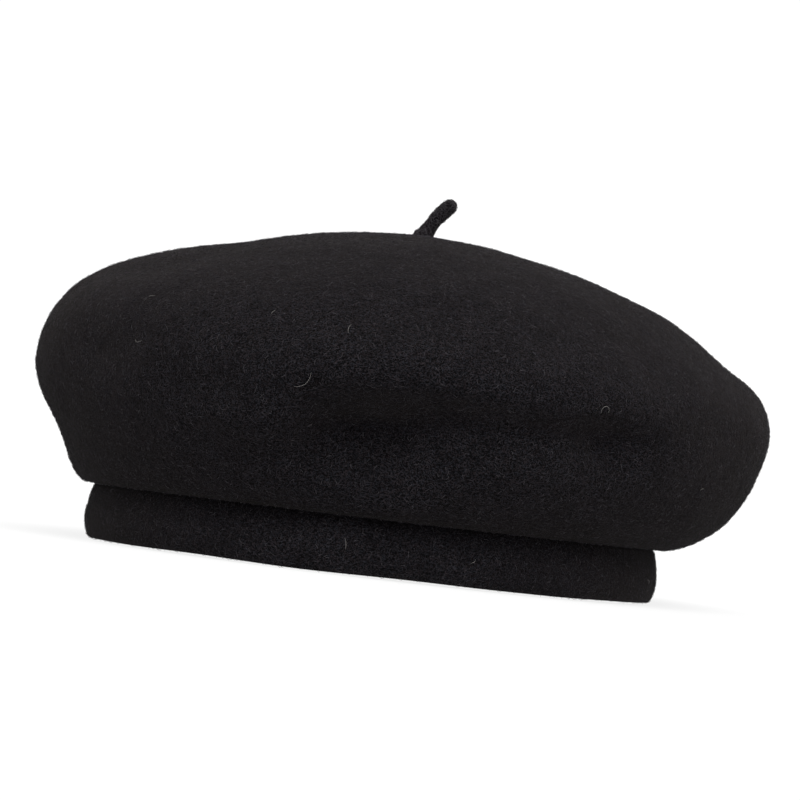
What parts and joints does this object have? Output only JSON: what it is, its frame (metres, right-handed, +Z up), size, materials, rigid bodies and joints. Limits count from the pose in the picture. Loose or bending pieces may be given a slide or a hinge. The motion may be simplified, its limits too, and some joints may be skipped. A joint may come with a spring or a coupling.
{
  "type": "beret",
  "caption": "Round wool felt beret with an overhanging crown, a folded headband, a short bent stalk, a satin lining and a leather sweatband.",
  "frame": {"origin": "on the plane that the headband's fold rests on, under the middle of the crown", "axes": "+Z up, from the head opening to the stalk; +X along the longer way of the head's oval, towards the side that the stalk leans to; +Y towards the size tab at the back"},
  "size_m": [0.2546, 0.246, 0.1314],
  "materials": {
    "felt": "fulled black wool felt with a short soft nap",
    "lining": "black satin, softly shiny",
    "sweatband": "black grained leather, satin",
    "thread": "black sewing thread",
    "size_tab": "plain grey woven ribbon, blank"
  },
  "bodies": {
    "headband": {"headband": "felt", "crown_seam_thread": "thread", "sweatband": "sweatband", "sweatband_thread": "thread"},
    "crown": {"felt_crown": "felt", "lining_tip": "lining", "lining_side": "lining", "lining_piping": "lining", "stalk_knot": "felt"},
    "stalk": {"stalk": "felt"},
    "size_tab": {"size_tab": "size_tab"}
  },
  "joints": [
    {"name": "crown_slouch", "type": "hinge", "parent": "headband", "child": "crown", "pos_m": [-0.0049, 0, 0.0186], "axis": [0, 1, 0], "range_deg": [-8, 8]},
    {"name": "stalk_bend", "type": "hinge", "parent": "crown", "child": "stalk", "pos_m": [0.0015, 0, 0.1184], "axis": [0, 1, 0], "range_deg": [-70, 25], "stiffness_Nm_per_rad": 0.003},
    {"name": "size_tab_flap", "type": "hinge", "parent": "headband", "child": "size_tab", "pos_m": [-0.0049, 0.08797, 0.022], "axis": [-1, 0, 0], "range_deg": [0, 110]}
  ]
}
